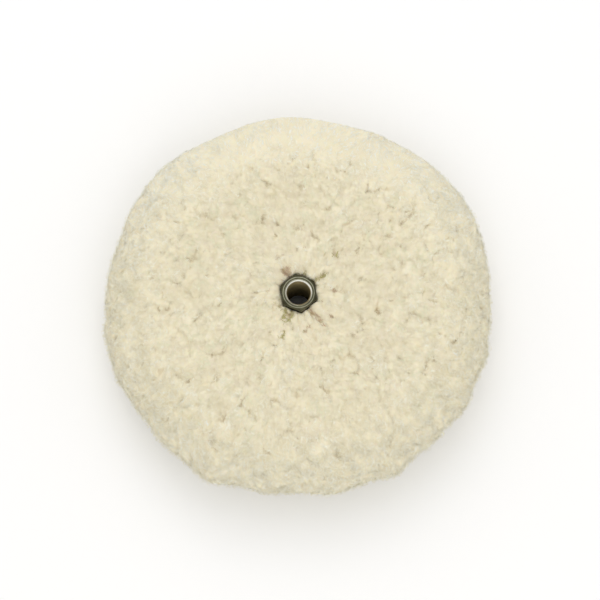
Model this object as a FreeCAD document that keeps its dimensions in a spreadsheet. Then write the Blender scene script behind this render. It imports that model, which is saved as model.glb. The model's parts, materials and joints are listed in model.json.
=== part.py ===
"""Double-sided wool polishing pad with a threaded hex hub, as a parametric document.

Frame: origin on the hub axis at the pad's mid-plane, +Z out of the front face, millimetres.
Each rear piece is the front one's twin, turned half a turn about X.
"""
import FreeCAD, Part
import math
import os
import re
import Sketcher

# Driving dimensions, in millimetres and degrees. Radii and heights are from the hub axis and mid-plane.
DRIVING = {
    # threaded hex hub
    "hex_flats": 20.0,
    "hub_length": 38.0,
    "thread_minor": 13.6,
    "thread_mouth": 15.9,
    "mouth_depth": 1.15,
    "hub_face": 18.8,
    "corner_chamfer_angle": 30.0,
    # stack, from the mid-plane outwards
    "stiffener_thickness": 3.0,
    "felt_thickness": 4.0,
    "cloth_thickness": 0.9,
    "plate_thickness": 1.6,
    "washer_thickness": 1.5,
    # round outlines
    "stiffener_radius": 75.0,
    "shoulder_radius": 80.0,
    "felt_radius": 100.0,
    "cloth_radius": 106.0,
    "plate_radius": 26.0,
    "washer_radius": 23.0,
    # hub hole and clamp plate collar
    "collar_height": 2.5,
    "collar_wall": 1.3,
    "hub_hole_radius": 12.0,
    # rivets
    "rivet_circle": 19.0,
    "rivet_radius": 2.1,
    "rivet_hole_radius": 2.2,
    "rivet_head_radius": 3.3,
    "rivet_head_height": 1.3,
    "rivet_hollow_radius": 1.2,
    "rivet_hollow_depth": 3.0,
    # edge seam
    "thread_radius": 0.35,
    "seam_radius": 101.6,
    "binding_radius": 107.0,
    "binding_lap_radius": 103.0,
    "binding_thickness": 0.7,
    # wool pile
    "pile_radius": 115.0,
    "pile_height": 25.0,
    "pile_opening_radius": 13.2,
    "dimple_height": 15.5,
    "dimple_radius": 34.0,
    "dimple_round": 16.0,
    "crown_round": 15.0,
    "rim_height": 7.0,
    "rim_groove_depth": 4.0,
    "clearance": 0.3,
}

# Worked out from the driving dimensions by the spreadsheet itself.
DERIVED = {
    "hex_corners": "=hex_flats / cos(30)",
    "corner_rise": "=(hex_corners / 2 + clearance - hub_face / 2) * tan(corner_chamfer_angle)",
    "felt_base": "=stiffener_thickness / 2",
    "felt_top": "=felt_base + felt_thickness",
    "cloth_top": "=felt_top + cloth_thickness",
    "plate_top": "=cloth_top + plate_thickness",
    "washer_top": "=plate_top + washer_thickness",
    "collar_radius": "=hex_corners / 2 + collar_wall",
    "edge_slope": "=felt_top / (felt_radius - shoulder_radius)",
    "cloth_bend_radius": "=felt_radius + cloth_thickness * 0.4",
    "cloth_shoulder_radius": "=cloth_bend_radius - felt_top / edge_slope",
    "pile_floor": "=washer_top + rivet_head_height + clearance",
    "seam_top": "=cloth_thickness + binding_thickness + clearance",
    "seam_start_radius": "=cloth_bend_radius - (seam_top - cloth_thickness) / edge_slope",
}

RIVETS = 6
HEX_SIDES = 6

doc = FreeCAD.newDocument("polishing_pad")
sheet = doc.addObject("Spreadsheet::Sheet", "sizes")
subparts = []


def fill_sheet():
    """Write the driving and derived dimensions, one aliased cell each."""
    cells = {**DRIVING, **DERIVED}
    for row, (alias, size) in enumerate(cells.items(), start=1):
        sheet.set(f"A{row}", alias)
        sheet.set(f"B{row}", str(size))
        sheet.setAlias(f"B{row}", alias)
    doc.recompute()


def value(expression):
    """The number that an expression over the sheet's aliases gives now."""
    result = sheet.evalExpression(expression)
    return float(getattr(result, "Value", result))


def bound(expression):
    """The same expression as another object must write it, with the sheet's name before each alias."""
    aliases = {**DRIVING, **DERIVED}
    return re.sub(r"[a-z_]+", lambda word: "sizes." * (word[0] in aliases) + word[0], expression)


def new_body(label, rear=False):
    """A named sub-part; a rear one is turned over to the other side of the mid-plane."""
    body = doc.addObject("PartDesign::Body", label)
    body.Label = label
    body.AllowCompound = True
    if rear:
        body.Placement = FreeCAD.Placement(FreeCAD.Vector(), FreeCAD.Rotation(FreeCAD.Vector(1, 0, 0), 180))
    subparts.append(body)
    return body


def new_sketch(body, name, role="XY_Plane", offset=None):
    """An empty sketch on one of the body's own origin planes, lifted by offset if given."""
    plane = next(item for item in body.Origin.OriginFeatures if item.Role == role)
    sketch = body.newObject("Sketcher::SketchObject", f"{body.Name}_{name}")
    sketch.AttachmentSupport = [(plane, "")]
    sketch.MapMode = "FlatFace"
    if offset:
        sketch.setExpression("AttachmentOffset.Base.z", bound(offset))
    return sketch


def bind(sketch, constraint, name, expression):
    """Add a dimension to a sketch and tie it to the sheet."""
    index = sketch.addConstraint(constraint)
    sketch.renameConstraint(index, name)
    sketch.setExpression(f"Constraints.{name}", bound(expression))


def circle(sketch, radius, name="radius", x=None):
    """A circle on the hub axis, or on the X axis at distance x."""
    centre = FreeCAD.Vector(value(x) if x else 0, 0, 0)
    index = sketch.addGeometry(Part.Circle(centre, FreeCAD.Vector(0, 0, 1), value(radius)), False)
    if x:
        sketch.addConstraint(Sketcher.Constraint("PointOnObject", index, 3, -1))
        bind(sketch, Sketcher.Constraint("DistanceX", -1, 1, index, 3, value(x)), f"{name}_x", x)
    else:
        sketch.addConstraint(Sketcher.Constraint("Coincident", index, 3, -1, 1))
    bind(sketch, Sketcher.Constraint("Radius", index, value(radius)), name, radius)


def hexagon(sketch):
    """The hub's hexagon, with a corner on the X axis."""
    corner = value("hex_corners / 2")
    turns = [2 * math.pi * k / HEX_SIDES for k in range(HEX_SIDES)]
    points = [FreeCAD.Vector(corner * math.cos(turn), corner * math.sin(turn), 0) for turn in turns]
    sides = [
        sketch.addGeometry(Part.LineSegment(points[k], points[(k + 1) % HEX_SIDES]), False)
        for k in range(HEX_SIDES)
    ]
    guide_circle = Part.Circle(FreeCAD.Vector(), FreeCAD.Vector(0, 0, 1), corner)
    guide = sketch.addGeometry(guide_circle, True)
    sketch.addConstraint(Sketcher.Constraint("Coincident", guide, 3, -1, 1))
    for k in range(HEX_SIDES):
        sketch.addConstraint(Sketcher.Constraint("Coincident", sides[k], 2, sides[(k + 1) % HEX_SIDES], 1))
        sketch.addConstraint(Sketcher.Constraint("PointOnObject", sides[k], 1, guide))
    for k in range(HEX_SIDES - 1):
        sketch.addConstraint(Sketcher.Constraint("Equal", sides[k], sides[k + 1]))
    sketch.addConstraint(Sketcher.Constraint("PointOnObject", sides[0], 1, -1))
    bind(sketch, Sketcher.Constraint("Radius", guide, corner), "corners", "hex_corners / 2")


def profile(sketch, points):
    """A closed outline of straight sides through (radius, height) points, each tied to the sheet."""
    corners = [FreeCAD.Vector(value(r), value(z), 0) for r, z in points]
    count = len(points)
    for k in range(count):
        sketch.addGeometry(Part.LineSegment(corners[k], corners[(k + 1) % count]), False)
    for k in range(count):
        sketch.addConstraint(Sketcher.Constraint("Coincident", k, 2, (k + 1) % count, 1))
    for k, (r, z) in enumerate(points):
        for axis, distance, rail in (("X", r, -2), ("Y", z, -1)):
            if distance == "0":
                sketch.addConstraint(Sketcher.Constraint("PointOnObject", k, 1, rail))
                continue
            size = Sketcher.Constraint(f"Distance{axis}", -1, 1, k, 1, value(distance))
            bind(sketch, size, f"{axis.lower()}{k}", distance)


def revolve(body, points):
    """A full turn of an outline about the hub axis."""
    sketch = new_sketch(body, "outline", "XZ_Plane")
    profile(sketch, points)
    turned = body.newObject("PartDesign::Revolution", f"{body.Name}_turned")
    turned.Profile = sketch
    turned.ReferenceAxis = (sketch, ["V_Axis"])
    turned.Angle = 360
    doc.recompute()
    return turned


def pad(body, sketch, name, length, midplane=False):
    """Raise a sketch by a length from the sheet."""
    raised = body.newObject("PartDesign::Pad", f"{body.Name}_{name}")
    raised.Profile = sketch
    raised.Midplane = midplane
    raised.setExpression("Length", bound(length))
    doc.recompute()
    return raised


def cut_through(body, sketch, name):
    """Pocket a sketch through the whole sub-part, both ways from its plane."""
    before = body.Shape.Volume
    pocket = body.newObject("PartDesign::Pocket", f"{body.Name}_{name}")
    pocket.Profile = sketch
    pocket.Type = "ThroughAll"
    pocket.Midplane = True
    doc.recompute()
    if pocket.Shape.Volume >= before:
        raise RuntimeError(f"{body.Label}: {name} cut nothing")
    return pocket


def rivet_holes(body):
    """Holes for the ring of rivets."""
    sketch = new_sketch(body, "rivet_hole")
    circle(sketch, "rivet_hole_radius", x="rivet_circle")
    hole = cut_through(body, sketch, "rivet_pocket")
    ring = body.newObject("PartDesign::PolarPattern", f"{body.Name}_rivet_ring")
    ring.Originals = [hole]
    ring.Axis = (sketch, ["N_Axis"])
    ring.Angle = 360
    ring.Occurrences = RIVETS
    body.Tip = ring
    doc.recompute()


def edges_at(shape, radius, height, tolerance=0.02):
    """Names of the round edges centred on the hub axis at one radius and height."""
    names = []
    for index, edge in enumerate(shape.Edges, start=1):
        curve = edge.Curve
        if not isinstance(curve, Part.Circle):
            continue
        on_axis = math.hypot(curve.Center.x, curve.Center.y) < tolerance
        if on_axis and abs(curve.Radius - radius) < tolerance and abs(curve.Center.z - height) < tolerance:
            names.append(f"Edge{index}")
    return names


def round_edge(body, base, name, radius, height, size):
    """Fillet the round edge at one radius and height."""
    names = edges_at(base.Shape, value(radius), value(height))
    if not names:
        raise RuntimeError(f"{body.Label}: no edge for {name}")
    fillet = body.newObject("PartDesign::Fillet", f"{body.Name}_{name}")
    fillet.Base = (base, names)
    fillet.setExpression("Radius", bound(size))
    doc.recompute()
    return fillet


def hub_nut():
    """Long hex nut: chamfered corners at both ends, bored at the thread's minor diameter, countersunk."""
    body = new_body("hub_nut")
    outline = new_sketch(body, "hexagon")
    hexagon(outline)
    pad(body, outline, "bar", "hub_length", midplane=True)

    bore = new_sketch(body, "bore")
    circle(bore, "thread_minor / 2")
    cut_through(body, bore, "drilled")

    for side, role_turn in (("front", 0), ("rear", 180)):
        corner = new_sketch(body, f"{side}_corners", "XZ_Plane")
        corner.AttachmentOffset = FreeCAD.Placement(
            FreeCAD.Vector(), FreeCAD.Rotation(FreeCAD.Vector(1, 0, 0), role_turn)
        )
        profile(corner, [
            ("hub_face / 2", "hub_length / 2"),
            ("hex_corners / 2 + clearance", "hub_length / 2 - corner_rise"),
            ("hex_corners / 2 + clearance", "hub_length / 2"),
        ])
        groove(body, corner, f"{side}_corner_chamfer")

        mouth = new_sketch(body, f"{side}_mouth", "XZ_Plane")
        mouth.AttachmentOffset = corner.AttachmentOffset
        profile(mouth, [
            ("thread_minor / 2 - clearance", "hub_length / 2"),
            ("thread_minor / 2 - clearance", "hub_length / 2 - mouth_depth"),
            ("thread_minor / 2", "hub_length / 2 - mouth_depth"),
            ("thread_mouth / 2", "hub_length / 2"),
        ])
        groove(body, mouth, f"{side}_countersink")


def groove(body, sketch, name):
    """Turn a sketch about the hub axis and take it away."""
    before = body.Shape.Volume
    turned = body.newObject("PartDesign::Groove", f"{body.Name}_{name}")
    turned.Profile = sketch
    turned.ReferenceAxis = (sketch, ["V_Axis"])
    turned.Angle = 360
    doc.recompute()
    if turned.Shape.Volume >= before:
        raise RuntimeError(f"{body.Label}: {name} cut nothing")


def clamp_plate(label, rear):
    """Stamped steel plate with a drawn collar that grips the hub's hexagon."""
    body = new_body(label, rear)
    disc = new_sketch(body, "disc", offset="cloth_top")
    circle(disc, "plate_radius")
    flat = pad(body, disc, "plate", "plate_thickness")
    round_edge(body, flat, "rolled_rim", "plate_radius", "plate_top", "plate_thickness / 2")

    collar = new_sketch(body, "collar", offset="plate_top")
    circle(collar, "collar_radius")
    drawn = pad(body, collar, "collar_pad", "collar_height")
    collar_top = "plate_top + collar_height"
    lip = round_edge(body, drawn, "collar_lip", "collar_radius", collar_top, "collar_wall / 2")
    round_edge(body, lip, "collar_root", "collar_radius", "plate_top", "collar_wall / 4")

    opening = new_sketch(body, "hexagon")
    hexagon(opening)
    cut_through(body, opening, "hex_hole")
    rivet_holes(body)


def fibre_washer(label, rear):
    """Facing washer over the clamp plate, so that the steel doesn't cut the wool."""
    body = new_body(label, rear)
    ring = new_sketch(body, "ring", offset="plate_top")
    circle(ring, "washer_radius", "outer")
    circle(ring, "collar_radius + clearance * 2", "inner")
    flat = pad(body, ring, "washer", "washer_thickness")
    round_edge(body, flat, "worn_edge", "washer_radius", "washer_top", "washer_thickness / 3")
    rivet_holes(body)


def felt_cushion(label, rear):
    """Felt that softens the face: flat over the stiffener, tapered to the edge beyond it."""
    body = new_body(label, rear)
    revolve(body, [
        ("hub_hole_radius", "felt_base"),
        ("stiffener_radius + clearance", "felt_base"),
        ("stiffener_radius + clearance", "0"),
        ("felt_radius", "0"),
        ("shoulder_radius", "felt_top"),
        ("hub_hole_radius", "felt_top"),
    ])
    rivet_holes(body)


def backing_cloth(label, rear):
    """Woven cloth that the wool is rooted in, shaped over the felt and flat at the sewn edge."""
    body = new_body(label, rear)
    revolve(body, [
        ("hub_hole_radius", "felt_top"),
        ("shoulder_radius", "felt_top"),
        ("felt_radius", "0"),
        ("cloth_radius", "0"),
        ("cloth_radius", "cloth_thickness"),
        ("cloth_bend_radius", "cloth_thickness"),
        ("cloth_shoulder_radius", "cloth_top"),
        ("hub_hole_radius", "cloth_top"),
    ])
    rivet_holes(body)


def wool_pile(label, rear):
    """The pile on one face as one closed soft solid, with the hub's dimple and a rounded rim."""
    body = new_body(label, rear)
    turned = revolve(body, [
        ("pile_opening_radius", "pile_floor"),
        ("plate_radius + clearance", "pile_floor"),
        ("plate_radius + clearance", "cloth_top"),
        ("cloth_shoulder_radius", "cloth_top"),
        ("seam_start_radius", "seam_top"),
        ("binding_radius + clearance", "seam_top"),
        ("binding_radius + clearance", "clearance / 2"),
        ("pile_radius - rim_groove_depth", "clearance / 2"),
        ("pile_radius", "rim_height"),
        ("pile_radius", "pile_height"),
        ("dimple_radius", "pile_height"),
        ("pile_opening_radius", "dimple_height"),
    ])
    crown = round_edge(body, turned, "crown", "pile_radius", "pile_height", "crown_round")
    dimple = round_edge(body, crown, "dimple", "dimple_radius", "pile_height", "dimple_round")
    round_edge(body, dimple, "rim", "pile_radius", "rim_height", "rim_height / 2")


def stiffener_disc():
    """Stiff pressed-fibre disc in the middle of the stack."""
    body = new_body("stiffener_disc")
    ring = new_sketch(body, "ring")
    circle(ring, "stiffener_radius", "outer")
    circle(ring, "hub_hole_radius", "inner")
    pad(body, ring, "board", "stiffener_thickness", midplane=True)
    rivet_holes(body)


def rivet(number):
    """Semi-tubular rivet: a round head in front and a rolled, hollow end behind."""
    body = new_body(f"hub_rivet_{number}")
    shank = new_sketch(body, "shank")
    circle(shank, "rivet_radius")
    pin = pad(body, shank, "shank_pad", "washer_top * 2", midplane=True)
    for side, face in (("front", 1), ("rear", -1)):
        head = new_sketch(body, f"{side}_head")
        turn = FreeCAD.Rotation(FreeCAD.Vector(1, 0, 0), 0 if face > 0 else 180)
        head.AttachmentOffset = FreeCAD.Placement(FreeCAD.Vector(), turn)
        head.setExpression("AttachmentOffset.Base.z", bound(f"washer_top * {face}"))
        circle(head, "rivet_head_radius")
        raised = pad(body, head, f"{side}_head_pad", "rivet_head_height")
        top = f"(washer_top + rivet_head_height) * {face}"
        pin = round_edge(body, raised, f"{side}_dome", "rivet_head_radius", top, "rivet_head_height * 0.8")
    hollow = new_sketch(body, "hollow")
    hollow.setExpression("AttachmentOffset.Base.z", bound("(washer_top + rivet_head_height) * -1"))
    circle(hollow, "rivet_hollow_radius")
    before = body.Shape.Volume
    drilled = body.newObject("PartDesign::Pocket", f"{body.Name}_hollow_end")
    drilled.Profile = hollow
    drilled.Reversed = True
    drilled.setExpression("Length", bound("rivet_hollow_depth"))
    doc.recompute()
    if drilled.Shape.Volume >= before:
        raise RuntimeError("the rivet's hollow end cut nothing")
    angle = 2 * math.pi * (number - 1) / RIVETS
    body.setExpression("Placement.Base.x", bound(f"rivet_circle * {math.cos(angle):.9f}"))
    body.setExpression("Placement.Base.y", bound(f"rivet_circle * {math.sin(angle):.9f}"))


def seam_thread(label, rear):
    """One thread of the seam that joins the two cloths: needle thread in front, bobbin thread behind."""
    ring = doc.addObject("Part::Torus", label)
    ring.Label = label
    ring.setExpression("Radius1", bound("seam_radius"))
    ring.setExpression("Radius2", bound("thread_radius"))
    side = -1 if rear else 1
    ring.setExpression("Placement.Base.z", bound(f"(cloth_thickness + thread_radius) * {side}"))
    subparts.append(ring)


def edge_binding():
    """Tape folded over the two cloths' edges."""
    def disc(name, radius, half_height):
        solid = doc.addObject("Part::Cylinder", name)
        solid.setExpression("Radius", bound(radius))
        solid.setExpression("Height", bound(f"({half_height}) * 2"))
        solid.setExpression("Placement.Base.z", bound(f"({half_height}) * -1"))
        return solid

    outside = disc("binding_outside", "binding_radius", "cloth_thickness + binding_thickness")
    middle = disc("binding_middle", "binding_lap_radius", "cloth_thickness + binding_thickness")
    fold = disc("binding_fold", "cloth_radius", "cloth_thickness")
    removed = doc.addObject("Part::Fuse", "binding_removed")
    removed.Base = middle
    removed.Tool = fold
    tape = doc.addObject("Part::Cut", "edge_binding")
    tape.Label = "edge_binding"
    tape.Base = outside
    tape.Tool = removed
    subparts.append(tape)


def check_document():
    """Stop on any failed object or bad shape."""
    doc.recompute()
    for item in doc.Objects:
        if "Invalid" in item.State or "Error" in item.State:
            raise RuntimeError(f"{item.Name} failed: {item.State}")
        if item.TypeId == "Sketcher::SketchObject" and not item.FullyConstrained:
            raise RuntimeError(f"{item.Name} isn't fully constrained")
    for item in subparts:
        if item.Shape.isNull() or not item.Shape.isValid():
            raise RuntimeError(f"{item.Label} has no valid shape")
        if len(item.Shape.Solids) != 1:
            raise RuntimeError(f"{item.Label} holds {len(item.Shape.Solids)} solids")


def export():
    """Write one STEP file per sub-part."""
    os.makedirs("parts", exist_ok=True)
    for item in subparts:
        item.Shape.exportStep(f"parts/{item.Label}.step")
        print(f"{item.Label:22s} {item.Shape.Volume / 1000:8.2f} cm3")


fill_sheet()
hub_nut()
for place, is_rear in (("front", False), ("rear", True)):
    clamp_plate(f"{place}_clamp_plate", is_rear)
    fibre_washer(f"{place}_fibre_washer", is_rear)
    felt_cushion(f"{place}_felt_cushion", is_rear)
    backing_cloth(f"{place}_backing_cloth", is_rear)
    wool_pile(f"{place}_wool_pile", is_rear)
    seam_thread(f"{place}_seam_thread", is_rear)
stiffener_disc()
edge_binding()
for number in range(1, RIVETS + 1):
    rivet(number)
check_document()
export()
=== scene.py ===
"""Looks of a double-sided wool polishing pad with a threaded steel hub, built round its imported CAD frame."""
import json
import math

import bmesh
import bpy
import numpy as np
from mathutils import Matrix, Vector


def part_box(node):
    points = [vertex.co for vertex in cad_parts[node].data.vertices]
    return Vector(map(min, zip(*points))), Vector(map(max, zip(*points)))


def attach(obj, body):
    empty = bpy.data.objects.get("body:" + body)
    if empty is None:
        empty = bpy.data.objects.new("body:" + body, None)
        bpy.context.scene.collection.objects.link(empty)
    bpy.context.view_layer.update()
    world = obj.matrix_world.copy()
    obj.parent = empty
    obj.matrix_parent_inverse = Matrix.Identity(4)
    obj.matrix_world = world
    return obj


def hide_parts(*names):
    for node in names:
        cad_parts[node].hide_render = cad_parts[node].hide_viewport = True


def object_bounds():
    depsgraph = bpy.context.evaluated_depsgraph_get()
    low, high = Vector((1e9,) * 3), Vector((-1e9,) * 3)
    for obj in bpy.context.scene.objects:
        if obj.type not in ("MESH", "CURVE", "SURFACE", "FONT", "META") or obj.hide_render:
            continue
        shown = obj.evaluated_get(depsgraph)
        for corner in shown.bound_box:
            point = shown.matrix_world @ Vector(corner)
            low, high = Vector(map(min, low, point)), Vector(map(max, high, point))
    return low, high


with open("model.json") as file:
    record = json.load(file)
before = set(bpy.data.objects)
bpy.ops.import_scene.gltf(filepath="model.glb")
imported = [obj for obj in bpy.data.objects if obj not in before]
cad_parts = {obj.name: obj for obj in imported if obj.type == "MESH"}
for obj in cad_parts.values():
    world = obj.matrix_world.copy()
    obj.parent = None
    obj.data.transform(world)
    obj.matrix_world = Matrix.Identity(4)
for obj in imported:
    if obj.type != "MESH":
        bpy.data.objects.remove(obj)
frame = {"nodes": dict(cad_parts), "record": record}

CAD_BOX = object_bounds()
MM = 0.001

# ---------------------------------------------------------------- sizes, all from the frame, in millimetres


def corner_mm(node, high=True):
    """The highest or lowest corner of a CAD node's box."""
    return [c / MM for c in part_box(node)[1 if high else 0]]


def mount(name):
    """One of the record's mounts."""
    return next(m for m in frame["record"]["mounts"] if m["name"] == name)


HUB_CORNER, HUB_FLAT, HUB_END = corner_mm("hub_nut")
BORE = mount("spindle_thread")["dims"]["r_mm"]
PILE_RADIUS, _, PILE_TOP = corner_mm("front_wool_pile")
WASHER_RADIUS, _, WASHER_TOP = corner_mm("front_fibre_washer")
CLOTH_RADIUS, _, CLOTH_TOP = corner_mm("front_backing_cloth")
FELT_RADIUS, _, FELT_TOP = corner_mm("front_felt_cushion")
BINDING_RADIUS, _, BINDING_TOP = corner_mm("edge_binding")
BOARD_RADIUS, _, BOARD_TOP = corner_mm("stiffener_disc")
SHOULDER = FELT_RADIUS * 0.8
CLOTH_THICK = CLOTH_TOP - FELT_TOP
TAPE_THICK = BINDING_TOP - CLOTH_THICK
TAPE_LAP = 4.0
SEAM_OUTER, _, SEAM_TOP = corner_mm("front_seam_thread")
YARN = (SEAM_TOP - corner_mm("front_seam_thread", high=False)[2]) / 2
HUB_HOLE = HUB_CORNER + 0.45
RIVET_BOXES = [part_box(f"hub_rivet_{number}") for number in range(1, 7)]
RIVET_HOLE = (RIVET_BOXES[0][1].x - RIVET_BOXES[0][0].x) / MM / 3
THREAD_PITCH = 25.4 / 11
THREAD_DEPTH = 1.12
# the flats at crest and root, as a share of half a pitch
THREAD_FLAT = 0.125

# ---------------------------------------------------------------- seamless noise on a flat plane


def hashed(column, row, seed):
    """A repeatable random number from 0 to 1 for each cell of a grid."""
    mixed = (column.astype(np.int64) * 374761393 + row.astype(np.int64) * 668265263 + seed * 2246822519)
    mixed = (mixed ^ (mixed >> 13)) * 1274126177 & 0x7FFFFFFFFFFF
    mixed = mixed ^ (mixed >> 16)
    return (mixed & 0xFFFFFF) / float(0xFFFFFF)


def noise(x, y, size, seed):
    """Gradient noise of about -1 to 1, with features of the given size."""
    u, v = x / size, y / size
    column, row = np.floor(u), np.floor(v)
    du, dv = u - column, v - row
    fade_u, fade_v = du * du * (3 - 2 * du), dv * dv * (3 - 2 * dv)

    def slope(i, j):
        turn = 2 * np.pi * hashed(column + i, row + j, seed)
        return np.cos(turn) * (du - i) + np.sin(turn) * (dv - j)

    near = slope(0, 0) * (1 - fade_u) + slope(1, 0) * fade_u
    far = slope(0, 1) * (1 - fade_u) + slope(1, 1) * fade_u
    return 1.6 * (near * (1 - fade_v) + far * fade_v)


def tufts(x, y, size, uneven, softness, seed):
    """Rounded tuft tops that crowd together: their joint surface, 1 on a tall top and near 0 in a deep gap
    between several, and a random number of the tuft on top."""
    u, v = x / size, y / size
    column, row = np.floor(u), np.floor(v)
    joint, highest, lot = np.zeros(u.shape), np.full(u.shape, -9.0), np.zeros(u.shape)
    for i in (-1, 0, 1):
        for j in (-1, 0, 1):
            a, b = column + i, row + j
            off_u = u - a - 0.5 - 0.9 * (hashed(a, b, seed) - 0.5)
            off_v = v - b - 0.5 - 0.9 * (hashed(a, b, seed + 1) - 0.5)
            own = hashed(a, b, seed + 2)
            top = 1 - uneven * own - off_u**2 - off_v**2
            joint += np.exp(softness * top)
            lot = np.where(top > highest, own, lot)
            highest = np.maximum(top, highest)
    return np.log(joint) / softness, lot


def smooth_step(low, high, value):
    """0 at low, 1 at high and a smooth change between, whichever is the greater."""
    t = np.clip((value - low) / (high - low), 0, 1)
    return t * t * (3 - 2 * t)


def apart(angle, bearing):
    """The angle from a bearing in degrees, in radians from -pi to pi."""
    return (angle - np.radians(bearing) + np.pi) % (2 * np.pi) - np.pi


def hex_radius(angle):
    """The hub's hexagon's outline, with a corner on the X axis."""
    sixth = math.pi / 3
    return HUB_FLAT / np.cos((angle % sixth) - sixth / 2)


# ---------------------------------------------------------------- the wool's outline and relief

# The pelt's section from the hub's opening, over the dimple and the crown, round the rim to the seam.
# Each point is (radius, height); the curve runs smoothly through them.
OPENING = HUB_CORNER + 0.4
SECTION = [
    (OPENING + 0.6, WASHER_TOP + 0.6),
    (OPENING - 0.1, HUB_END * 0.74),
    (OPENING + 0.8, HUB_END * 0.90),
    (OPENING + 4.5, HUB_END * 0.985),
    (PILE_RADIUS * 0.25, PILE_TOP * 0.85),
    (PILE_RADIUS * 0.40, PILE_TOP * 0.92),
    (PILE_RADIUS * 0.58, PILE_TOP * 0.945),
    (PILE_RADIUS * 0.76, PILE_TOP * 0.90),
    (PILE_RADIUS * 0.88, PILE_TOP * 0.77),
    (PILE_RADIUS * 0.955, PILE_TOP * 0.54),
    (PILE_RADIUS * 0.985, PILE_TOP * 0.25),
    (PILE_RADIUS * 0.98, PILE_TOP * 0.07),
    (BINDING_RADIUS + 1.0, PILE_TOP * 0.015),
]
SECTION_STEP = 0.1


def smooth_section():
    """The section at even steps of arc length: its length, radius, height and outward normal."""
    knots = np.array(SECTION)
    ends = np.vstack([2 * knots[0] - knots[1], knots, 2 * knots[-1] - knots[-2]])
    pieces = []
    for k in range(1, len(ends) - 2):
        t = np.linspace(0, 1, 60, endpoint=False)[:, None]
        a, b, c, d = ends[k - 1], ends[k], ends[k + 1], ends[k + 2]
        pieces.append(0.5 * (2 * b + (c - a) * t + (2 * a - 5 * b + 4 * c - d) * t**2
                             + (3 * b - a - 3 * c + d) * t**3))
    line = np.vstack(pieces + [knots[-1:]])
    run = np.concatenate([[0], np.cumsum(np.hypot(*np.diff(line, axis=0).T))])
    even = np.arange(0, run[-1], SECTION_STEP)
    r, z = np.interp(even, run, line[:, 0]), np.interp(even, run, line[:, 1])
    dr, dz = np.gradient(r, even), np.gradient(z, even)
    size = np.hypot(dr, dz)
    return even, r, z, -dz / size, dr / size


RUN, RUN_R, RUN_Z, RUN_NR, RUN_NZ = smooth_section()
RUN_START = OPENING
RUN_END = RUN_START + RUN[-1]


# Swells and notches of the rim: bearing about +Z and half width, in degrees, and how far out as a share
# of the radius.
RIM_SHAPE = [
    (52, 20, 0.024), (96, 15, -0.017), (138, 12, -0.014), (160, 11, 0.013), (184, 6, -0.011),
    (222, 18, 0.024), (241, 2, -0.006), (247, 4, 0.026), (264, 10, 0.046), (283, 6, 0.010),
    (302, 12, 0.017), (320, 7, 0.030), (333, 5, 0.020), (347, 6, 0.030), (356, 2, 0.008),
    (3, 7, 0.018), (24, 10, -0.010), (63, 7, -0.004),
]
# Folds where the wool crowds round the hub: bearing in degrees, length, sideways drift in radians, half
# width, depth and strength of their painted shade.
HUB_FOLDS = [
    (326, 14, 0.10, 1.9, 2.0, 0.95), (267, 9, 0.0, 4.4, 2.8, 1.4), (288, 13, 0.15, 1.1, 0.9, 0.5),
    (306, 7, 0.0, 1.2, 0.8, 0.4), (18, 6, 0.1, 1.2, 0.8, 0.4), (60, 15, -0.12, 1.9, 1.0, 0.7),
    (92, 6, 0.2, 1.6, 1.0, 0.7), (140, 9, -0.1, 4.2, 1.0, 0.75), (178, 6, 0.1, 1.3, 0.8, 0.4),
    (214, 7, 0.1, 1.3, 0.8, 0.4),
]
FOLD_START = 7
# Bearings in degrees: the side that is combed flat, which faces the lamps and gets the most painted
# highlight, and one of the two opposite sides where the painted shade near the hub is tinted olive.
COMBED_SIDE = 112
OLIVE_SIDE = 75
# Stretches along the section: where the tufts flatten, where the painted shade in the gaps fades, where
# the seam gets painted shade, where fibres fall into line and where they get a painted highlight.
RIM_SPAN = (RUN_START + 70, RUN_START + 94)
SHADE_FADE_SPAN = (RUN_START + 84, RUN_START + 106)
SEAM_SHADE_SPAN = (RUN_END - 6, RUN_END - 2.5)
SLEEK_SPAN = (RUN_START + 62, RUN_START + 92)
RIM_HIGHLIGHT_SPAN = (RUN_START + 52, RUN_START + 108)
# How far out from the opening the folds' fibres get painted shade, and how far in from the seam.
HUB_SHADE_REACH = 26
SEAM_SHADE_REACH = 6
TUFT = 6.0
TUFT_UNEVEN = 0.45
TUFT_SOFTNESS = 12


def combed(bearing):
    """How smooth the pile lies: it is combed flat on one side of the rim, 1 at the most. It also sets how
    much painted highlight and how little painted shade that side gets.
    """
    return np.maximum(0, np.cos(apart(bearing, COMBED_SIDE))) ** 1.5


def outline_factor(bearing):
    """How far the rim stands off a true circle: slow swells, a few notches and small steps."""
    rough = 1 - np.cos(apart(bearing, COMBED_SIDE))
    total = 0.003 * np.sin(23 * bearing + 2 * np.sin(3 * bearing)) * rough
    total -= 0.005
    for way, wide, out in RIM_SHAPE:
        total = total + out * np.exp(-(apart(bearing, way) / math.radians(wide)) ** 2)
    return total


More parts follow.
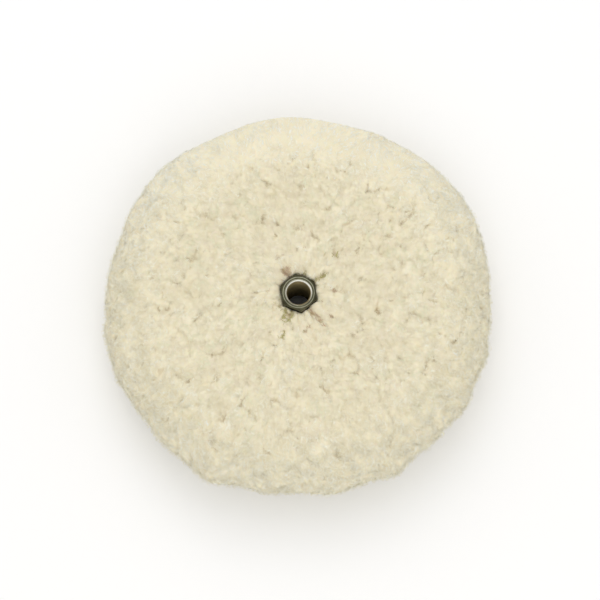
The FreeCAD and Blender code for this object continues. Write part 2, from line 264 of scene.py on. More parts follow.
class Pelt:
    """One face's wool: a relief over a flat plan, wrapped on to the section. side is 1 in front and
    -1 behind."""

    def __init__(self, side, seed):
        self.side = side
        self.seed = seed

    def warped(self, x, y):
        """Plan positions bent a little, so that tufts have no straight sides."""
        s = self.seed
        wx = x + 1.8 * noise(x, y, 8, s) + 1.0 * noise(x, y, 3.0, s + 1)
        wy = y + 1.8 * noise(x, y, 8, s + 2) + 1.0 * noise(x, y, 3.0, s + 3)
        return wx, wy

    def large_tufts(self, wx, wy):
        """The main tufts' tops and lots, at warped positions."""
        return tufts(wx, wy, TUFT, TUFT_UNEVEN, TUFT_SOFTNESS, self.seed + 10)

    def relief(self, x, y):
        """Height of the relief, and the painted shade at each point in a gap, a fold or the seam, from 0 to 1.
        """
        s = self.seed
        run, bearing = np.hypot(x, y), np.arctan2(y, x) * self.side
        rim = smooth_step(*RIM_SPAN, run)
        even = rim * (0.1 + 0.75 * combed(bearing))
        shade_fade = np.maximum(rim * combed(bearing), 0.5 * smooth_step(*SHADE_FADE_SPAN, run))
        # painted shade along the seam groove
        seam = 0.8 * smooth_step(*SEAM_SHADE_SPAN, run)
        calm = smooth_step(2, 8, run - RUN_START) * smooth_step(-1, 7, RUN_END - run)
        wx, wy = self.warped(x, y)
        large, _ = self.large_tufts(wx, wy)
        small, _ = tufts(wx * 1.1 + 31, wy * 0.9 - 17, TUFT * 0.45, 0.5, TUFT_SOFTNESS, s + 30)
        patch = smooth_step(-0.6, 0.4, noise(x, y, 14, s + 20))
        gap = smooth_step(0.38, 0.05, large) * (0.5 + 0.5 * patch)
        dimple = smooth_step(0.36, 0.05, small) * smooth_step(0.8, 0.35, large) * (0.3 + 0.7 * patch)
        fold, fold_depth = self.folds(run, bearing, noise(x, y, 3.5, s + 45))
        height = (
            0.5 * noise(x, y, 34, s + 40)
            + 0.3 * noise(x, y, 12, s + 41)
            + (1 - even) * (1.7 * (large - 0.6) + 0.6 * (small - 0.6) - 0.35 * gap - 0.5 * dimple)
            + 0.07 * noise(x, y, 1.3, s + 42)
        )
        # painted shade: gaps and dimples, fading towards the rim, plus the folds and the seam
        dark = np.clip((1 - shade_fade) * (0.7 * gap + 1.0 * dimple) + fold + seam, 0, 1)
        return height * calm - fold_depth, dark

    def folds(self, run, bearing, ragged):
        """The folds round the hub: how much painted shade and how deep at each point. ragged is noise to break
        them up.
        """
        out = run - RUN_START - FOLD_START
        # a faint ring of painted shade round the opening
        dark, deep = 0.15 * np.exp(-np.abs(out) / 4), np.zeros(run.shape)
        for way, reach, drift, wide, depth, shade in HUB_FOLDS:
            aside = apart(bearing, way + np.degrees(drift * out / reach)) * run + 1.3 * ragged
            ends = smooth_step(reach, reach * 0.3, out) * smooth_step(-1.5, 1, out)
            here = np.exp(-(aside / wide) ** 2) * ends
            dark = np.maximum(dark, shade * here * (0.75 + 0.5 * ragged))
            deep = np.maximum(deep, depth * here)
        return dark, deep

    def place(self, x, y, height):
        """The point at a height above plan position x, y. The plan's radius is length along the section."""
        run = np.hypot(x, y)
        angle = np.arctan2(y, x)
        along = np.clip(run - RUN_START, 0, RUN[-1])
        r, z = np.interp(along, RUN, RUN_R), np.interp(along, RUN, RUN_Z)
        nr, nz = np.interp(along, RUN, RUN_NR), np.interp(along, RUN, RUN_NZ)
        r = r - (HUB_CORNER - hex_radius(angle)) * smooth_step(15, 6, along)
        past = run - RUN_START - along
        spread = 1 + outline_factor(angle * self.side) * smooth_step(0.55, 0.9, r / PILE_RADIUS)
        r = (r + nr * height) * spread
        z = z + nz * height - past * (along > 1)
        return np.stack([r * np.cos(angle), r * np.sin(angle), z], axis=-1)


def new_mesh(name, points, faces, material, slots=None):
    """A smooth mesh object from arrays of points and equal-sided faces. material is one or a list, and slots
    gives each face's place in the list."""
    mesh = bpy.data.meshes.new(name)
    count, sides = faces.shape
    mesh.vertices.add(len(points))
    mesh.vertices.foreach_set("co", np.ascontiguousarray(points, np.float32).ravel())
    mesh.loops.add(count * sides)
    mesh.loops.foreach_set("vertex_index", np.ascontiguousarray(faces, np.int32).ravel())
    mesh.polygons.add(count)
    mesh.polygons.foreach_set("loop_start", np.arange(0, count * sides, sides, dtype=np.int32))
    mesh.polygons.foreach_set("use_smooth", np.ones(count, bool))
    for item in material if isinstance(material, list) else [material]:
        mesh.materials.append(item)
    if slots is not None:
        mesh.polygons.foreach_set("material_index", np.ascontiguousarray(slots, np.int32))
    mesh.update(calc_edges=True)
    mesh.validate()
    piece = bpy.data.objects.new(name, mesh)
    bpy.context.scene.collection.objects.link(piece)
    return piece


def between(near, far):
    """Triangles between two rings, each (first point, count). One may have twice the other's points."""
    (first, n), (other, m) = near, far
    if n > m:
        return between(far, near)[:, ::-1]
    i = np.arange(n)
    a, b = first + i, first + (i + 1) % n
    if n == m:
        c, d = other + i, other + (i + 1) % m
        return np.vstack([np.stack([a, c, d], 1), np.stack([a, d, b], 1)])
    c, d, e = other + 2 * i, other + 2 * i + 1, other + (2 * i + 2) % m
    return np.vstack([np.stack([a, c, d], 1), np.stack([a, d, b], 1), np.stack([b, d, e], 1)])


def circle(radius, height, count):
    """A ring of points round the axis, in millimetres. radius and height may vary round it."""
    angle = 2 * np.pi * np.arange(count) / count
    return np.stack([radius * np.cos(angle), radius * np.sin(angle), height + 0 * angle], 1)


def ringed_mesh(name, rings, material, side=1, looks=None):
    """A closed mesh through rings of points in millimetres, the last joined to the first. side -1 turns it
    over. looks gives the material of the faces after each ring."""
    starts = np.cumsum([0] + [len(ring) for ring in rings[:-1]])
    ends = [(start, len(ring)) for start, ring in zip(starts, rings)]
    bands = [between(ends[k], ends[(k + 1) % len(ends)]) for k in range(len(ends))]
    slots = None if looks is None else np.repeat(looks, [len(band) for band in bands])
    return new_mesh(name, np.vstack(rings) * (1, side, side) * MM, np.vstack(bands), material, slots=slots)


PELT_STEP = 0.68
PELT_COLUMNS = 128


def pelt_surface(pelt, name, material):
    """The pelt's surface in rings that get finer outwards, closed underneath by a plain floor."""
    rings, depth = [], []
    count = PELT_COLUMNS
    for run in np.arange(RUN_START, RUN_END, PELT_STEP):
        while 2 * math.pi * np.interp(run - RUN_START, RUN, RUN_R) / count > 1.25 * PELT_STEP:
            count *= 2
        plan = circle(run, 0, count)
        height, gap = pelt.relief(plan[:, 0], plan[:, 1])
        rings.append(pelt.place(plan[:, 0], plan[:, 1], height))
        depth.append(gap)
    # out of sight: over the seam, along the cloth and up to the opening, in full painted shade
    for radius, height in (
        (BINDING_RADIUS + 0.5, BINDING_TOP + 0.4),
        (FELT_RADIUS - 2, BINDING_TOP + 0.4),
        (SHOULDER, CLOTH_TOP + 0.2),
        (WASHER_RADIUS + 4, CLOTH_TOP + 0.2),
        (WASHER_RADIUS + 3.4, WASHER_TOP + 1.7),
        (SECTION[0][0] + 0.6, WASHER_TOP + 1.4),
    ):
        count = max(PELT_COLUMNS, count // 2)
        rings.append(circle(radius, height, count))
        depth.append(np.ones(count))
    piece = ringed_mesh(name, rings, material, pelt.side)
    # the painted shade of each point, which the pelt's material turns darker and warmer
    mark = piece.data.attributes.new("gap", "FLOAT", "POINT")
    mark.data.foreach_set("value", np.concatenate(depth).astype(np.float32))
    return piece


# A fibre's cross-section: (place across, height) of its edges, in half widths.
FLAT = ((1, 0), (-1, 0))
CROWNED = ((1, 0), (0, 0.55), (-1, 0))
FIBRE_STEPS = 5
# The wool's shades, in the order of the material slots: cream, rosy, sage and pale are natural tones;
# root, deep, tan, olive and seam are painted shade; rim_highlight, and pale at the rim, are a painted
# highlight.
SHADES = {
    "root": (0.68, 0.60, 0.42),
    "deep": (0.785, 0.72, 0.53),
    "cream": (0.835, 0.775, 0.58),
    "rosy": (0.845, 0.77, 0.60),
    "sage": (0.815, 0.785, 0.585),
    "pale": (0.875, 0.84, 0.69),
    "tan": (0.56, 0.42, 0.29),
    "olive": (0.48, 0.44, 0.20),
    "seam": (0.44, 0.45, 0.35),
    "rim_highlight": (0.86, 0.855, 0.765),
}
GAP_SHADE, GAP_HALF_SHADE, CREAM, ROSY, SAGE, PALE, TAN, OLIVE, SEAM, RIM_HIGHLIGHT = range(len(SHADES))


def scattered(rng, count, inner):
    """Random places along the section, from inner past the opening to the seam. The plan is wider than the
    real rim, so they are thinned there to keep the coat even."""
    run = np.sqrt(rng.uniform((RUN_START + inner) ** 2, (RUN_END - 1.5) ** 2, count * 2))
    real = np.interp(run - RUN_START, RUN, RUN_R) / run
    return run[rng.uniform(0, 1, run.size) < real][:count]


def fibre_tones(run, bearing, lot, root, drawn):
    """The shade of each fibre: a natural tone from its tuft's lot, painted shade from its depth in a gap, in
    the folds near the hub and at the seam, and a painted highlight towards the rim. drawn is noise that breaks
    up the borders."""
    plain = np.where(lot * 7 % 1 > 0.82, SAGE, np.where(lot * 13 % 1 + 0.35 * drawn > 0.75, ROSY, CREAM))
    # painted shade on fibres that lie in a gap
    tone = np.where(root + 0.12 * drawn > 0.62, GAP_SHADE, np.where(root > 0.27, GAP_HALF_SHADE, plain))
    tone = np.where((lot * 29 % 1 > 0.85) & (drawn > -0.3), PALE, tone)
    # a painted highlight towards the rim, strongest on the side facing the lamps
    pale = smooth_step(*RIM_HIGHLIGHT_SPAN, run) * (0.55 + 0.6 * combed(bearing)) + 0.18 * drawn
    tone = np.where((pale > 0.35) & (root < 0.5), np.where(pale > 0.75, RIM_HIGHLIGHT, PALE), tone)
    # painted shade on fibres in the folds near the hub: tan on some sides, olive on others
    hub_shaded = (run - RUN_START < HUB_SHADE_REACH) & (root > 0.3)
    olive = np.cos(2 * apart(bearing, OLIVE_SIDE)) + 0.3 * drawn > 0.2
    tone = np.where(hub_shaded, np.where(olive, OLIVE, TAN), tone)
    # painted shade on the darker fibres by the seam
    return np.where((RUN_END - run < SEAM_SHADE_REACH) & (tone < CREAM), SEAM, tone)


def fibres(pelt, name, materials, seed, count, length, width, rise, wild, section=FLAT, inner=2.5):
    """Curled fibres or locks that lie over the pelt, tapered at both ends. rise is how high they arch, wild
    how far their headings stray, and inner how far from the hub's opening they start."""
    rng = np.random.default_rng(seed)
    run = scattered(rng, count, inner)
    count = run.size
    turn = rng.uniform(0, 2 * np.pi, count)
    x, y = run * np.cos(turn), run * np.sin(turn)
    s = pelt.seed
    _, lot = pelt.large_tufts(*pelt.warped(x, y))
    sleek = smooth_step(*SLEEK_SPAN, run) * combed(turn * pelt.side)
    heading = 2.2 * np.pi * noise(x, y, 34, s + 50) + 2.4 * (lot - 0.5) * 2 + wild * rng.normal(0, 1, count)
    heading = heading * (1 - sleek) + (turn + 0.5 * noise(x, y, 20, s + 51)) * sleek
    curl = ((lot * 17 % 1 - 0.5) * 3.0 + rng.normal(0, 1.0, count)) * (1 - 0.7 * sleek)
    phase = rng.uniform(0, 2 * np.pi, count)
    waves = rng.uniform(1.2, 2.6, count)
    long = length * rng.uniform(0.55, 1.35, count)
    high = rise * rng.uniform(0.1, 1.0, count) ** 1.5 * (1 - 0.75 * sleek)
    wide = width * rng.uniform(0.6, 1.3, count)
    drawn = rng.normal(0, 1, count)

    # one row a fibre and one column a point along it, from t = 0 to 1
    t = np.linspace(0, 1, FIBRE_STEPS + 1)
    swing = 0.7 * np.sin(2 * np.pi * waves[:, None] * t + phase[:, None])
    bearing = heading[:, None] + curl[:, None] * t + swing
    stride = long[:, None] / FIBRE_STEPS
    px = x[:, None] + np.cumsum(np.cos(bearing) * stride, 1) - np.cos(bearing[:, :1]) * stride
    py = y[:, None] + np.cumsum(np.sin(bearing) * stride, 1) - np.sin(bearing[:, :1]) * stride
    lift = high[:, None] * np.sin(np.pi * np.clip(t * 1.08, 0, 1)) ** 0.7 - 0.25
    taper = wide[:, None] * (0.35 + 0.65 * np.sin(np.pi * (0.1 + 0.82 * t))) / 2
    height, gap = pelt.relief(px, py)
    roll = 0.5 * np.sin(2 * np.pi * t[None, :] + phase[:, None])
    strands = []
    for across, crown in section:
        side_x, side_y = -np.sin(bearing) * taper * across, np.cos(bearing) * taper * across
        above = lift + taper * (crown - roll * across)
        strands.append(pelt.place(px + side_x, py + side_y, height + above))
    points = np.stack(strands, 2).reshape(-1, 3) * (1, pelt.side, pelt.side) * MM
    lanes = len(section)
    start = (np.arange(count) * (FIBRE_STEPS + 1) * lanes)[:, None, None]
    start = start + (np.arange(FIBRE_STEPS) * lanes)[None, :, None] + np.arange(lanes - 1)[None, None, :]
    faces = np.stack([start, start + 1, start + lanes + 1, start + lanes], -1).reshape(-1, 4)
    tone = fibre_tones(run, turn * pelt.side, lot, gap[:, FIBRE_STEPS // 2], drawn)
    slots = np.repeat(tone, FIBRE_STEPS * (lanes - 1))
    return new_mesh(name, points, faces, materials, slots=slots)


# ---------------------------------------------------------------- materials


# a wave texture repeats every 0.314 of its scaled length
WAVE_REPEAT = 0.314


class Nodes:
    """A node material under construction."""

    def __init__(self, name):
        self.material = bpy.data.materials.new(name)
        self.material.use_nodes = True
        self.tree = self.material.node_tree
        self.shader = self.tree.nodes["Principled BSDF"]

    def add(self, kind, inputs=None, **settings):
        """A new node, with its settings and inputs filled in."""
        node = self.tree.nodes.new(kind)
        for key, value in settings.items():
            setattr(node, key, value)
        for key, value in (inputs or {}).items():
            self.set(node, key, value)
        return node

    def set(self, node, key, value):
        """Link an output, or set a plain value."""
        socket = node.inputs[key]
        if isinstance(value, bpy.types.NodeSocket):
            self.tree.links.new(value, socket)
        else:
            socket.default_value = value

    def shade(self, **inputs):
        """Fill in the shader's inputs, with underscores for spaces, and give back the material."""
        for key, value in inputs.items():
            self.set(self.shader, key.replace("_", " "), value)
        return self.material

    def place(self):
        """Object coordinates."""
        return self.add("ShaderNodeTexCoord").outputs["Object"]

    def noise(self, scale, detail, roughness=0.6):
        """Mottling with features of about 1 / scale metres."""
        return self.add("ShaderNodeTexNoise", {
            "Vector": self.place(), "Scale": scale, "Detail": detail, "Roughness": roughness,
        }).outputs["Fac"]

    def wave(self, axis, threads):
        """Even bands across an axis, so many a metre."""
        return self.add("ShaderNodeTexWave", {
            "Vector": self.place(), "Scale": threads * WAVE_REPEAT, "Distortion": 1.0, "Detail": 2.0,
            "Detail Scale": 2.0,
        }, bands_direction=axis).outputs["Color"]

    def ramp(self, value, stops):
        """Colours at places from 0 to 1, blended between."""
        node = self.add("ShaderNodeValToRGB", {"Fac": value})
        ramp = node.color_ramp
        while len(ramp.elements) < len(stops):
            ramp.elements.new(0.5)
        for element, (at, colour) in zip(ramp.elements, stops):
            element.position = at
            element.color = (*colour, 1)
        return node.outputs["Color"]

    def bump(self, height, distance, strength):
        """Surface normals that follow a height."""
        return self.add("ShaderNodeBump", {
            "Height": height, "Distance": distance, "Strength": strength,
        }).outputs["Normal"]

    def mix(self, share, a, b, blend="MIX"):
        """Two colours blended, through the mix node's colour sockets: inputs 6 and 7, output 2."""
        node = self.add("ShaderNodeMix", {0: share, 6: a, 7: b}, data_type="RGBA", blend_type=blend)
        return node.outputs[2]


WOOL = (0.87, 0.81, 0.62)


def wool_material():
    """Pelt under the fibres: cream, with painted shade that turns warmer and darker in the gaps, folds and
    seam, greyer in patches.
    """
    n = Nodes("wool_pelt")
    gap = n.add("ShaderNodeAttribute", attribute_name="gap").outputs["Fac"]
    # painted shade from the gap attribute
    tone = n.ramp(gap, [(0.0, WOOL), (0.5, (0.76, 0.68, 0.49)), (1.0, (0.54, 0.43, 0.27))])
    patches = n.ramp(n.noise(60, 3), [(0.35, (0.94, 0.93, 0.91)), (0.65, (1.0, 1.0, 1.0))])
    colour = n.mix(1.0, tone, patches, "MULTIPLY")
    return n.shade(Base_Color=colour, Roughness=0.95, Specular_IOR_Level=0.1,
                   Subsurface_Weight=0.35, Subsurface_Radius=(1.0, 0.8, 0.5), Subsurface_Scale=0.002,
                   Normal=n.bump(n.noise(1800, 4), 0.0003, 0.5))


def fibre_material(name, colour):
    """Fibres of one of the SHADES: several of these are painted shade, and one is a painted highlight."""
    n = Nodes(name)
    return n.shade(Base_Color=(*colour, 1), Roughness=0.8, Specular_IOR_Level=0.15,
                   Sheen_Weight=0.25, Sheen_Roughness=0.5)


def steel_material(name, colour, gloss, dirt, metallic=1.0, marks=900):
    """Machined or plated metal: mottled by grime, with uneven gloss and fine marks."""
    n = Nodes(name)
    grime = n.ramp(n.noise(180, 5), [(0.3, tuple(c * dirt for c in colour)), (0.6, colour)])
    rough = n.ramp(n.noise(420, 4), [(0.3, (gloss,) * 3), (0.7, (gloss + 0.22,) * 3)])
    return n.shade(Base_Color=grime, Metallic=metallic, Roughness=rough,
                   Normal=n.bump(n.noise(marks, 2), 0.00005, 0.4))


def fibrous_material(name, light, dark, grain, depth, roughness=0.9):
    """Felt or fibreboard: two natural shades matted together."""
    n = Nodes(name)
    mat = n.noise(grain, 6, 0.75)
    specks = n.ramp(n.noise(grain * 4, 2), [(0.62, (1.0, 1.0, 1.0)), (0.70, (0.72, 0.68, 0.62))])
    colour = n.mix(1.0, n.ramp(mat, [(0.35, dark), (0.65, light)]), specks, "MULTIPLY")
    return n.shade(Base_Color=colour, Roughness=roughness, Specular_IOR_Level=0.2,
                   Normal=n.bump(mat, depth, 0.8))


def woven_material(name, colour, threads, depth):
    """Plain weave: crossed bands of the given threads per metre, with slubs."""
    n = Nodes(name)
    warp = n.wave("X", threads)
    weft = n.wave("Y", threads)
    weave = n.mix(0.5, warp, weft)
    slub = n.ramp(n.noise(90, 4), [(0.3, tuple(c * 0.82 for c in colour)), (0.7, colour)])
    shade = n.ramp(weave, [(0.2, (0.72, 0.72, 0.72)), (0.7, (1.0, 1.0, 1.0))])
    return n.shade(Base_Color=n.mix(1.0, slub, shade, "MULTIPLY"), Roughness=0.9, Specular_IOR_Level=0.15,
                   Normal=n.bump(weave, depth, 0.9))


# ---------------------------------------------------------------- the hub


HUB_COLUMNS = 360
THREAD_RINGS = 14
HUB_FACE = 9.4
BEVEL = 0.4
MOUTH_DEPTH = 1.15
MOUTH = BORE + MOUTH_DEPTH
CHAMFER = math.tan(math.radians(30))
DARK, TURNED, BRIGHT, BORED = range(4)


def threaded_hub(materials):
    """The long hex nut with chamfered corners, a countersunk mouth at each end and its thread."""
    angle = 2 * np.pi * np.arange(HUB_COLUMNS) / HUB_COLUMNS
    side = hex_radius(angle)
    rings, looks = [], []

    def ring(radius, height, look):
        rings.append(circle(radius, height, HUB_COLUMNS))
        looks.append(look)

    def thread_radius(z):
        turn = (z / THREAD_PITCH - angle / (2 * np.pi)) % 1.0
        tooth = np.clip(np.abs(turn - 0.5) * 2, THREAD_FLAT, 1 - THREAD_FLAT)
        flank = BORE + (tooth - THREAD_FLAT) / (1 - 2 * THREAD_FLAT) * THREAD_DEPTH
        return np.maximum(flank, BORE + max(0, abs(z) - (HUB_END - MOUTH_DEPTH)))

    # (radius, depth below the end face, material of the band outside it)
    face = [
        (MOUTH + 0.15, 0.0, DARK), (MOUTH + 0.3, 0.15, DARK), (MOUTH + 0.5, 0.0, DARK),
        (HUB_FACE - 0.55, 0.0, TURNED), (HUB_FACE - 0.1, 0.0, DARK),
    ]
    chamfer = [(0.02, DARK), (0.35, DARK), (0.7, DARK), (0.9, TURNED)]

    for z in np.arange(-HUB_END + 0.05, HUB_END, THREAD_PITCH / THREAD_RINGS):
        depth = HUB_END - abs(z)
        ring(thread_radius(z), z, TURNED if depth < BEVEL else BRIGHT if depth < MOUTH_DEPTH else BORED)
    for radius, depth, look in face:
        ring(radius, HUB_END - depth, look)
    for share, look in chamfer:
        radius = HUB_FACE + (side - HUB_FACE) * share
        ring(radius, HUB_END - (radius - HUB_FACE) * CHAMFER, look)
    shoulder = HUB_END - (side - HUB_FACE) * CHAMFER - 0.25
    for share in np.linspace(1, -1, 13):
        ring(side, shoulder * share, DARK)
    looks[-1] = TURNED
    for share, _ in chamfer[::-1]:
        radius = HUB_FACE + (side - HUB_FACE) * share
        ring(radius, -HUB_END + (radius - HUB_FACE) * CHAMFER, DARK)
    for radius, depth, look in face[::-1]:
        ring(radius, -HUB_END + depth, look)
    return ringed_mesh("hub_nut_threaded", rings, materials, looks=looks)


# ---------------------------------------------------------------- the layers inside the wool


def rivet_drills():
    """Cylinders where the rivets pass through the layers."""
    drills = bmesh.new()
    for low, high in RIVET_BOXES:
        place = Matrix.Translation((low + high) / 2)
        bmesh.ops.create_cone(drills, cap_ends=True, segments=24, radius1=RIVET_HOLE * MM,
                              radius2=RIVET_HOLE * MM, depth=4 * CLOTH_TOP * MM, matrix=place)
    mesh = bpy.data.meshes.new("drills")
    drills.to_mesh(mesh)
    drills.free()
    cutter = bpy.data.objects.new("drills", mesh)
    bpy.context.scene.collection.objects.link(cutter)
    return cutter


def punch(pieces):
    """Cut the rivets' holes through soft layers."""
    cutter = rivet_drills()
    for piece in pieces:
        holes = piece.modifiers.new("holes", "BOOLEAN")
        holes.operation = "DIFFERENCE"
        holes.object = cutter
        shown = piece.evaluated_get(bpy.context.evaluated_depsgraph_get())
        piece.data = bpy.data.meshes.new_from_object(shown)
        piece.modifiers.clear()
    bpy.data.objects.remove(cutter)


LAYER_COLUMNS = 360


def layer(name, outline, material, waver, side=1, step=3.0):
    """A soft disc or ring, its (radius, height) outline given from inside over the top and back underneath.
    Its surface wavers a little, less near the hub where the plates clamp it."""
    rings = []
    for (r0, z0), (r1, z1) in zip(outline, outline[1:] + outline[:1]):
        steps = max(1, round(math.hypot(r1 - r0, z1 - z0) / step))
        for share in np.arange(steps) / steps:
            radius = r0 + (r1 - r0) * share
            ring = circle(radius, z0 + (z1 - z0) * share, LAYER_COLUMNS)
            calm = smooth_step(WASHER_RADIUS, WASHER_RADIUS + 15, radius)
            ring[:, 2] += waver * calm * noise(ring[:, 0], ring[:, 1], 9, 5)
            rings.append(ring)
    return ringed_mesh(name, rings, material, side)


def felt(name, material, side):
    """Needled felt cushion: thick to the shoulder, then tapered, with softened edges."""
    inner = BOARD_TOP
    return layer(name, [
        (HUB_HOLE + 0.5, FELT_TOP - 0.3), (HUB_HOLE + 0.9, FELT_TOP - 0.05), (SHOULDER - 4, FELT_TOP - 0.05),
        (SHOULDER + 1, FELT_TOP - 0.5), (FELT_RADIUS - 1.5, 0.45), (FELT_RADIUS - 0.6, 0.15),
        (FELT_RADIUS - 1.5, 0.05), (BOARD_RADIUS + 0.9, 0.05), (BOARD_RADIUS + 0.4, 0.3),
        (BOARD_RADIUS + 0.4, inner - 0.3), (BOARD_RADIUS - 0.3, inner + 0.05),
        (HUB_HOLE + 0.9, inner + 0.05), (HUB_HOLE + 0.5, inner + 0.4),
    ], material, 0.06, side)


def backing(name, material, side):
    """Woven backing: flat over the felt, sloping down past the shoulder, flat again at the sewn edge."""
    base, top = FELT_TOP + 0.02, CLOTH_TOP - 0.02
    edge = CLOTH_RADIUS - 0.1
    return layer(name, [
        (HUB_HOLE + 0.3, top), (SHOULDER - 1, top), (SHOULDER + 1.5, top - 0.3),
        (FELT_RADIUS - 1, CLOTH_THICK + 0.4), (FELT_RADIUS + 1, CLOTH_THICK - 0.02),
        (edge, CLOTH_THICK - 0.02), (edge, 0.02), (FELT_RADIUS + 0.5, 0.02), (FELT_RADIUS - 1.2, 0.45),
        (SHOULDER + 1.2, base - 0.3), (SHOULDER - 1, base), (HUB_HOLE + 0.3, base),
    ], material, 0.04, side)


def binding_tape(material):
    """Tape folded over the edges of both cloths."""
    outer, top, inner = BINDING_RADIUS, BINDING_TOP, CLOTH_THICK + 0.02
    lap = outer - TAPE_LAP
    return layer("edge_binding_tape", [
        (lap, top - 0.1), (lap + 0.3, top), (outer - 0.5, top), (outer, top - 0.5), (outer, 0.5 - top),
        (outer - 0.5, -top), (lap + 0.3, -top), (lap, 0.1 - top), (lap, -inner),
        (outer - TAPE_THICK, -inner), (outer - TAPE_THICK, inner), (lap, inner),
    ], material, 0.05, step=1.0)


STITCHES = 170
STITCH_STEPS = 12


def lockstitch(name, material, side):
    """The seam round the rim: each stitch arches over the cloth and dips into it at both ends."""
    rings = []
    for step in range(STITCHES * STITCH_STEPS):
        stitch = step / STITCH_STEPS
        turn = 2 * math.pi * stitch / STITCHES
        arch = abs(math.sin(math.pi * stitch)) ** 0.6
        phi = np.linspace(0, 2 * np.pi, 8, endpoint=False)
        thick = YARN * 0.85 * (1 + 0.14 * np.cos(2 * phi - 3 * math.pi * stitch))
        radius = SEAM_OUTER - YARN + thick * np.cos(phi)
        height = SEAM_TOP - YARN + 0.6 * YARN * (arch - 1) + thick * np.sin(phi)
        rings.append(np.stack([radius * math.cos(turn), radius * math.sin(turn), height], 1))
    return ringed_mesh(name, rings, material, side)


# ---------------------------------------------------------------- build


def stands_for(piece, slot, *nodes):
    """Ride with the pad in place of CAD nodes, and hide them. slot is not used."""
    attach(piece, "root")
    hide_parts(*nodes)


def build_wool():
    """Both faces' pelts, each under four coats of fibres."""
    pelt_look = wool_material()
    shades = [fibre_material(f"fibre_{name}", colour) for name, colour in SHADES.items()]
    for place, side, seed in (("front", 1, 100), ("rear", -1, 700)):
        pelt = Pelt(side, seed)
        surface = pelt_surface(pelt, f"{place}_wool_pelt", pelt_look)
        stands_for(surface, "wool", f"{place}_wool_pile")
        coats = [
            fibres(pelt, f"{place}_wool_locks", shades, seed + 4, count=11000, length=4.2, width=1.1,
                   rise=0.35, wild=0.9, section=CROWNED),
            fibres(pelt, f"{place}_wool_fibres", shades, seed + 5, count=57000, length=5.0, width=0.26,
                   rise=0.8, wild=0.5),
            fibres(pelt, f"{place}_wool_fluff", shades, seed + 6, count=11000, length=4.5, width=0.14,
                   rise=2.0, wild=1.3),
            fibres(pelt, f"{place}_wool_wisps", shades, seed + 7, count=11000, length=7.0, width=0.22,
                   rise=2.8, wild=1.0, inner=88),
        ]
        for coat in coats:
            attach(coat, "root")


def build_hub():
    """The hub, in its four steels: grimy outside, turned edges, bright mouths and the bore. The mouths'
    near-white, barely metallic colour is partly a painted reflection.
    """
    hub = threaded_hub([
        steel_material("hub_dark_steel", (0.105, 0.100, 0.058), 0.45, 0.45),
        steel_material("hub_turned_steel", (0.34, 0.335, 0.24), 0.34, 0.55),
        # bright turned steel, made near-white and barely metallic: partly a painted reflection
        steel_material("hub_bright_steel", (0.90, 0.89, 0.81), 0.25, 0.85, metallic=0.2),
        steel_material("hub_thread_steel", (0.34, 0.27, 0.13), 0.4, 0.6, metallic=0.6),
    ])
    stands_for(hub, "hub_steel", "hub_nut")


def build_layers():
    """The soft layers and seams between the two faces."""
    felt_look = fibrous_material("needled_felt", (0.66, 0.63, 0.56), (0.50, 0.47, 0.41), 500, 0.0004)
    cloth_look = woven_material("backing_weave", (0.70, 0.66, 0.54), 900, 0.0003)
    tape_look = woven_material("tape_weave", (0.40, 0.43, 0.36), 1400, 0.0002)
    yarn_look = woven_material("seam_yarn", (0.72, 0.69, 0.60), 2600, 0.0001)
    for place, side in (("front", 1), ("rear", -1)):
        cushion = felt(f"{place}_felt", felt_look, side)
        cloth = backing(f"{place}_backing", cloth_look, side)
        punch([cushion, cloth])
        stands_for(cushion, "felt", f"{place}_felt_cushion")
        stands_for(cloth, "backing", f"{place}_backing_cloth")
        seam = lockstitch(f"{place}_lockstitch", yarn_look, side)
        stands_for(seam, "thread", f"{place}_seam_thread")
    tape = binding_tape(tape_look)
    stands_for(tape, "binding", "edge_binding")


def build_rigid_looks():
    """Materials for the CAD pieces that keep their own shape."""
    looks = {
        "clamp_plate": steel_material("zinc_plate", (0.62, 0.62, 0.60), 0.3, 0.7, marks=300),
        "fibre_washer": fibrous_material("vulcanised_fibre", (0.24, 0.11, 0.06), (0.17, 0.07, 0.04), 700,
                                         0.00004, 0.5),
        "hub_rivet": steel_material("rivet_brass", (0.62, 0.48, 0.24), 0.28, 0.6),
        "stiffener_disc": fibrous_material("fibreboard", (0.34, 0.24, 0.14), (0.25, 0.17, 0.10), 400,
                                           0.0001, 0.7),
    }
    for name, node in frame["nodes"].items():
        for key, look in looks.items():
            if key in name:
                for slot in node.material_slots:
                    slot.material = look


# The view: its turn about the axis and its elevation in degrees, distances in metres, the lens in
# millimetres.
CAMERA_AZIMUTH = 21.5
CAMERA_ELEVATION = 76.5
CAMERA_DISTANCE = 0.9
CAMERA_SHIFT = 0.8 * MM
CAMERA_LENS = 91
FLOOR_SIZE = 6
FLOOR_GAP = 0.0005
DAYLIGHT = 0.77


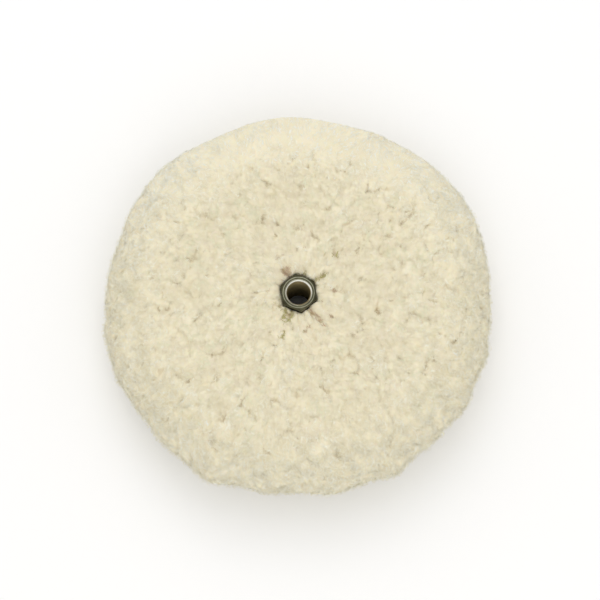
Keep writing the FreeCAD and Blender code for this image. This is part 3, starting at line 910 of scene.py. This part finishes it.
def build_stage():
    """A pale floor, even daylight and three soft lamps."""
    bpy.ops.mesh.primitive_plane_add(size=FLOOR_SIZE, location=(0, 0, CAD_BOX[0].z - FLOOR_GAP))
    floor = bpy.context.object
    floor.name = "floor"
    n = Nodes("floor_paper")
    paper = n.shade(Base_Color=(0.96, 0.96, 0.96, 1), Roughness=0.9, Specular_IOR_Level=0.1)
    floor.data.materials.append(paper)
    world = bpy.data.worlds.new("studio")
    bpy.context.scene.world = world
    world.use_nodes = True
    sky = world.node_tree.nodes["Background"]
    sky.inputs["Color"].default_value = (1.0, 0.99, 0.97, 1)
    sky.inputs["Strength"].default_value = DAYLIGHT

    def lamp(name, place, size, power):
        data = bpy.data.lights.new(name, "AREA")
        data.size = size
        data.energy = power
        light = bpy.data.objects.new(name, data)
        light.location = place
        light.rotation_mode = "QUATERNION"
        light.rotation_quaternion = place.to_track_quat("Z", "Y")
        bpy.context.scene.collection.objects.link(light)

    view = math.radians(CAMERA_AZIMUTH)
    right = Vector((math.cos(view), math.sin(view), 0))
    away = Vector((-math.sin(view), math.cos(view), 0))
    lamp("overhead", away * 0.95 + Vector((0, 0, 1.5)), size=1.2, power=4.8)
    lamp("key", away * 1.1 - right * 0.2 + Vector((0, 0, 0.9)), size=0.9, power=2.0)
    lamp("fill", -away * 1.0 + right * 0.1 + Vector((0, 0, 1.1)), size=1.2, power=4.6)


def build_camera():
    """The photo's viewpoint."""
    a, e = math.radians(CAMERA_AZIMUTH), math.radians(CAMERA_ELEVATION)
    back = Vector((math.sin(a) * math.cos(e), -math.cos(a) * math.cos(e), math.sin(e)))
    data = bpy.data.cameras.new("camera")
    data.lens = CAMERA_LENS
    camera = bpy.data.objects.new("camera", data)
    camera.rotation_mode = "QUATERNION"
    camera.location = back * CAMERA_DISTANCE + Vector((math.cos(a), math.sin(a), 0)) * CAMERA_SHIFT
    camera.rotation_quaternion = back.to_track_quat("Z", "Y")
    bpy.context.scene.collection.objects.link(camera)
    bpy.context.scene.camera = camera


bpy.context.scene.view_settings.view_transform = "Standard"
build_camera()
build_stage()
build_wool()
build_hub()
build_layers()
build_rigid_looks()
